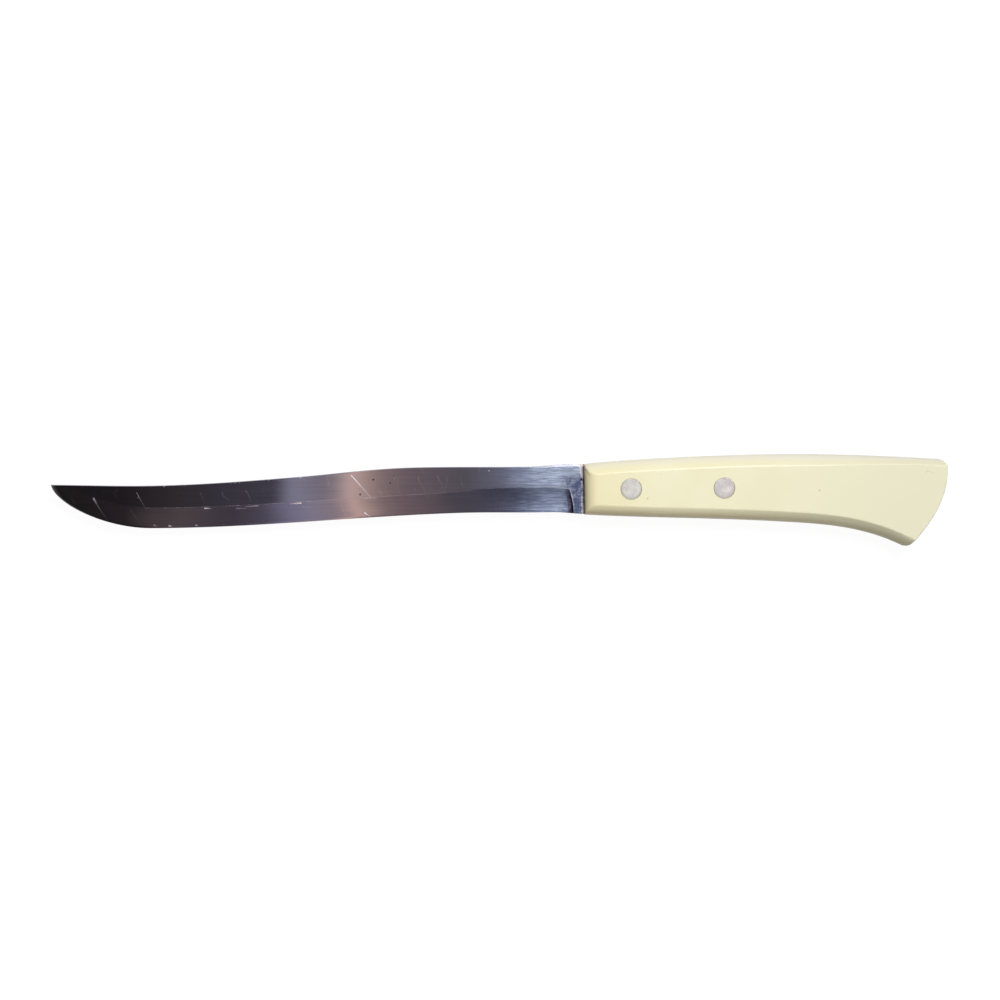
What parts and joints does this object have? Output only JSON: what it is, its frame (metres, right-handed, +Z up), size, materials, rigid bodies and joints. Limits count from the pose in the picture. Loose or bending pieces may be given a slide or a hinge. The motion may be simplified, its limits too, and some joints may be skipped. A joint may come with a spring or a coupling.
{
  "type": "carving knife",
  "caption": "Slender carving knife with a hollow-ground steel blade that sweeps up at the belly, and a faceted cream plastic handle with a flared butt, held by flush rivets.",
  "frame": {"origin": "on the surface that the knife lies on, under the centre of its bounding box", "axes": "+X along the knife from the tip to the butt, +Y from the cutting edge to the spine, +Z up, square to the blade's side"},
  "size_m": [0.3415, 0.035, 0.015],
  "materials": {
    "blade_steel": "polished",
    "handle_plastic": "gloss",
    "rivet_metal": "satin"
  },
  "bodies": {
    "root": {"blade": "blade_steel", "handle": "handle_plastic", "front_rivet_tube": "rivet_metal", "front_rivet_pin": "rivet_metal", "rear_rivet_tube": "rivet_metal", "rear_rivet_pin": "rivet_metal"}
  },
  "joints": []
}
